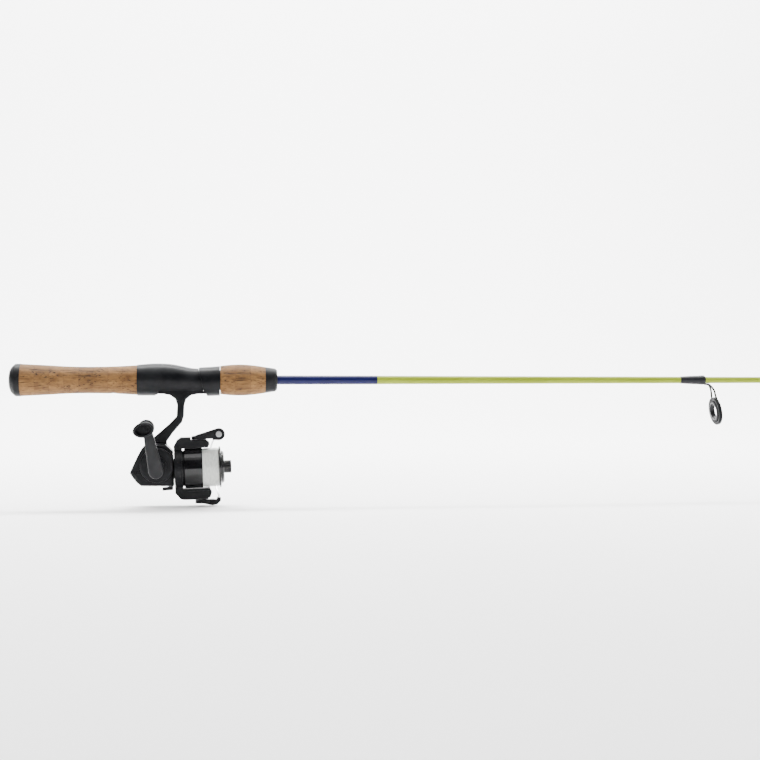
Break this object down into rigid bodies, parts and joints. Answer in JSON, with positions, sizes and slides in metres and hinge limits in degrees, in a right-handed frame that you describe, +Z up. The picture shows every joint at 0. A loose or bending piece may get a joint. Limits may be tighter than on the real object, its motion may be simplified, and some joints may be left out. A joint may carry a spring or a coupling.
{
  "type": "ice fishing rod",
  "caption": "Light spinning rod with cork grips, screw-down reel seat, ring guides and tip-top, with a fixed-spool reel: crank, rotor, bail, roller, drag knob and wound line",
  "frame": {"origin": "on the rod's axis where the rubber butt cap meets the rear cork grip", "axes": "+X along the rod toward the tip, +Z up with the reel hanging toward -Z, -Y toward the crank side"},
  "size_m": [1.1463, 0.0927, 0.1213],
  "materials": {
    "cork": "natural cork, sanded, dark pores and glue lines",
    "rubber_black": "satin moulded rubber",
    "seat_graphite": "semi-matte black graphite",
    "blank_green": "gloss lime green paint over glass fibre",
    "sleeve_blue": "gloss dark blue paint",
    "wrap_black": "thread under clear varnish",
    "guide_frame": "dark plated steel wire",
    "guide_shock": "matte shock ring",
    "guide_ceramic": "polished dark ceramic",
    "reel_black": "satin black paint on moulded body",
    "spool_black": "gloss black",
    "line_clear": "clear to milky monofilament, wound",
    "steel": "bare steel",
    "chrome_wire": "polished stainless wire",
    "brass": "cut brass",
    "zinc": "die-cast gear alloy",
    "felt": "drag felt and steel discs",
    "knob_black": "satin soft-touch rubber"
  },
  "bodies": {
    "rod_and_housing": {"blank": "blank_green", "butt_sleeve": "sleeve_blue", "butt_cap": "rubber_black", "rear_grip_cork": "cork", "reel_seat": "seat_graphite", "stripper_frame": "guide_frame", "stripper_shock_ring": "guide_shock", "stripper_ring": "guide_ceramic", "running_guide_frames": "guide_frame", "running_guide_rings": "guide_ceramic", "guide_wraps": "wrap_black", "tip_top_frame": "guide_frame", "tip_top_ring": "guide_ceramic", "reel_body": "reel_black", "side_cover": "reel_black", "side_cover_screws": "steel", "axle_bushes": "brass", "bearing_outer_race": "steel", "oscillation_post": "steel"},
    "hood": {"seat_hood": "seat_graphite"},
    "fore_grip": {"fore_grip_cork": "cork", "fore_grip_nut": "seat_graphite", "front_cap": "rubber_black"},
    "crank": {"crank_axle": "steel", "drive_gear": "zinc", "oscillation_pinion": "zinc", "crank_arm": "reel_black", "crank_collar": "reel_black", "knob_pin": "steel", "axle_cap": "reel_black"},
    "crank_knob": {"knob": "knob_black"},
    "rotor": {"rotor": "reel_black", "rotor_arm_covers": "reel_black", "rotor_nut": "brass", "pinion_gear": "brass", "bearing_inner_race": "steel", "bearing_balls": "steel", "bail_pivot_screws": "steel"},
    "bail": {"bail_wire": "chrome_wire", "bail_arm": "reel_black", "bail_lever_lower": "reel_black", "roller_screw": "steel"},
    "roller": {"line_roller": "steel"},
    "shaft": {"main_shaft": "steel", "slider_block": "zinc", "slider_screw": "steel", "spool_thrust_collar": "brass", "drag_spring": "steel"},
    "spool": {"spool": "spool_black", "line_winding": "line_clear", "drag_washers": "felt"},
    "drag_knob": {"drag_knob": "spool_black"},
    "oscillation_gear": {"oscillation_gear": "zinc"},
    "anti_reverse_lever": {"anti_reverse_lever": "reel_black"}
  },
  "joints": [
    {"name": "fore_grip_turn", "type": "hinge", "parent": "hood", "child": "fore_grip", "pos_m": [0.18, 0, 0], "axis": [1, 0, 0], "range_deg": [0, 1152]},
    {"name": "hood_slide", "type": "slide", "parent": "rod_and_housing", "child": "hood", "axis": [1, 0, 0], "range_m": [0, 0.008]},
    {"name": "crank_turn", "type": "hinge", "parent": "rod_and_housing", "child": "crank", "pos_m": [0.11317, 0, -0.0727], "axis": [0, 1, 0], "continuous": true},
    {"name": "knob_turn", "type": "hinge", "parent": "crank", "child": "crank_knob", "pos_m": [0.10598, -0.0431, -0.03873], "axis": [-0.0786, -0.9933, -0.0843], "continuous": true},
    {"name": "rotor_turn", "type": "hinge", "parent": "rod_and_housing", "child": "rotor", "pos_m": [0.1133, 0, -0.0763], "axis": [0.9994, 0, 0.0349], "continuous": true},
    {"name": "bail_swing", "type": "hinge", "parent": "rotor", "child": "bail", "pos_m": [0.14993, 0, -0.05071], "axis": [-0.0349, 0, 0.9994], "range_deg": [-100, 0]},
    {"name": "roller_turn", "type": "hinge", "parent": "bail", "child": "roller", "pos_m": [0.16508, 0, -0.04618], "axis": [0, 1, 0], "continuous": true},
    {"name": "spool_stroke", "type": "slide", "parent": "rod_and_housing", "child": "shaft", "axis": [0.9994, 0, 0.0349], "range_m": [-0.001, 0.0015]},
    {"name": "spool_drag", "type": "hinge", "parent": "shaft", "child": "spool", "pos_m": [0.1133, 0, -0.0763], "axis": [0.9994, 0, 0.0349], "continuous": true},
    {"name": "drag_knob_turn", "type": "hinge", "parent": "shaft", "child": "drag_knob", "pos_m": [0.17127, 0, -0.07428], "axis": [0.9994, 0, 0.0349], "range_deg": [-720, 360]},
    {"name": "oscillation_turn", "type": "hinge", "parent": "rod_and_housing", "child": "oscillation_gear", "pos_m": [0.10536, 0.006, -0.07828], "axis": [0, 1, 0], "continuous": true},
    {"name": "anti_reverse_turn", "type": "hinge", "parent": "rod_and_housing", "child": "anti_reverse_lever", "pos_m": [0.12422, 0, -0.09093], "axis": [-0.0349, 0, 0.9994], "range_deg": [0, 30]}
  ],
  "couplings": [
    {"joint": "rotor_turn", "follows": "crank_turn", "ratio": 4.5},
    {"joint": "oscillation_turn", "follows": "crank_turn", "ratio": -0.6},
    {"joint": "hood_slide", "follows": "fore_grip_turn", "m_per_rad": 0.00039789}
  ]
}
